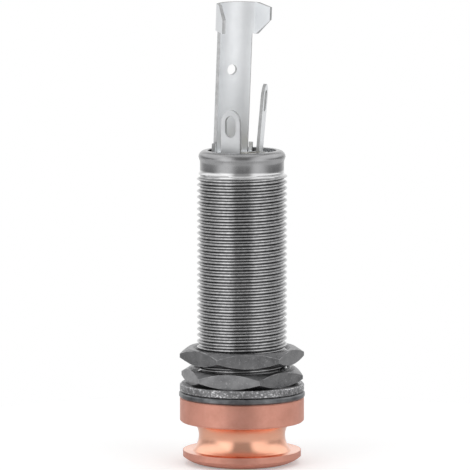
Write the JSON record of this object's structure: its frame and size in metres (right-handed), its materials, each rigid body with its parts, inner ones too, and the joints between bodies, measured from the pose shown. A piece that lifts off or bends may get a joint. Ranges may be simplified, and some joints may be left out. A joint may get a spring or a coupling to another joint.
{
  "type": "quarter inch phone jack",
  "caption": "Quarter inch stereo phone jack in a long threaded barrel, with a copper strap button on its mouth, hex nuts, washers and solder lugs with a cable clamp.",
  "frame": {"origin": "centre of the strap button's front face, where the plug goes in, on the barrel's axis", "axes": "+Z along the barrel towards the solder lugs, -Y towards the ring lug's side, which the picture shows from the front"},
  "size_m": [0.0166, 0.0166, 0.0609],
  "materials": {
    "barrel_plating": "black nickel plating, glossy",
    "button_copper": "copper coloured plating, satin flange and polished groove",
    "flat_washer_steel": "dark plating, smooth",
    "lock_washer_steel": "grey plating, rough",
    "nut_plating": "black nickel plating, satin",
    "liner_plastic": "smooth",
    "insulator": "laminated sheet",
    "terminal_tin": "bright tin plating",
    "spring_bronze": "spring bronze"
  },
  "bodies": {
    "barrel": {"barrel": "barrel_plating", "barrel_liner": "liner_plastic", "front_insulator": "insulator", "middle_insulator": "insulator", "rear_insulator": "insulator", "ring_terminal": "terminal_tin", "tip_terminal": "terminal_tin", "sleeve_terminal": "terminal_tin"},
    "strap_button": {"strap_button": "button_copper", "flat_washer": "flat_washer_steel", "lock_washer": "lock_washer_steel"},
    "lower_nut": {"lower_nut": "nut_plating"},
    "upper_nut": {"upper_nut": "nut_plating"},
    "ring_spring": {"ring_spring": "spring_bronze"},
    "tip_spring": {"tip_spring": "spring_bronze"}
  },
  "joints": [
    {"name": "button_unscrew", "type": "slide", "parent": "barrel", "child": "strap_button", "axis": [0, 0, -1], "range_m": [0, 0.01]},
    {"name": "lower_nut_travel", "type": "slide", "parent": "barrel", "child": "lower_nut", "axis": [0, 0, 1], "range_m": [0, 0.0105]},
    {"name": "upper_nut_travel", "type": "slide", "parent": "lower_nut", "child": "upper_nut", "axis": [0, 0, 1], "range_m": [0, 0.0115]},
    {"name": "ring_spring_flex", "type": "hinge", "parent": "barrel", "child": "ring_spring", "pos_m": [0.0018, 0.00288, 0.03745], "axis": [0.848, -0.5299, 0], "range_deg": [0, 3], "stiffness_Nm_per_rad": 0.6},
    {"name": "tip_spring_flex", "type": "hinge", "parent": "barrel", "child": "tip_spring", "pos_m": [-0.00334, 0.00065, 0.03805], "axis": [0.1908, 0.9816, 0], "range_deg": [0, 8.5], "stiffness_Nm_per_rad": 0.25}
  ]
}
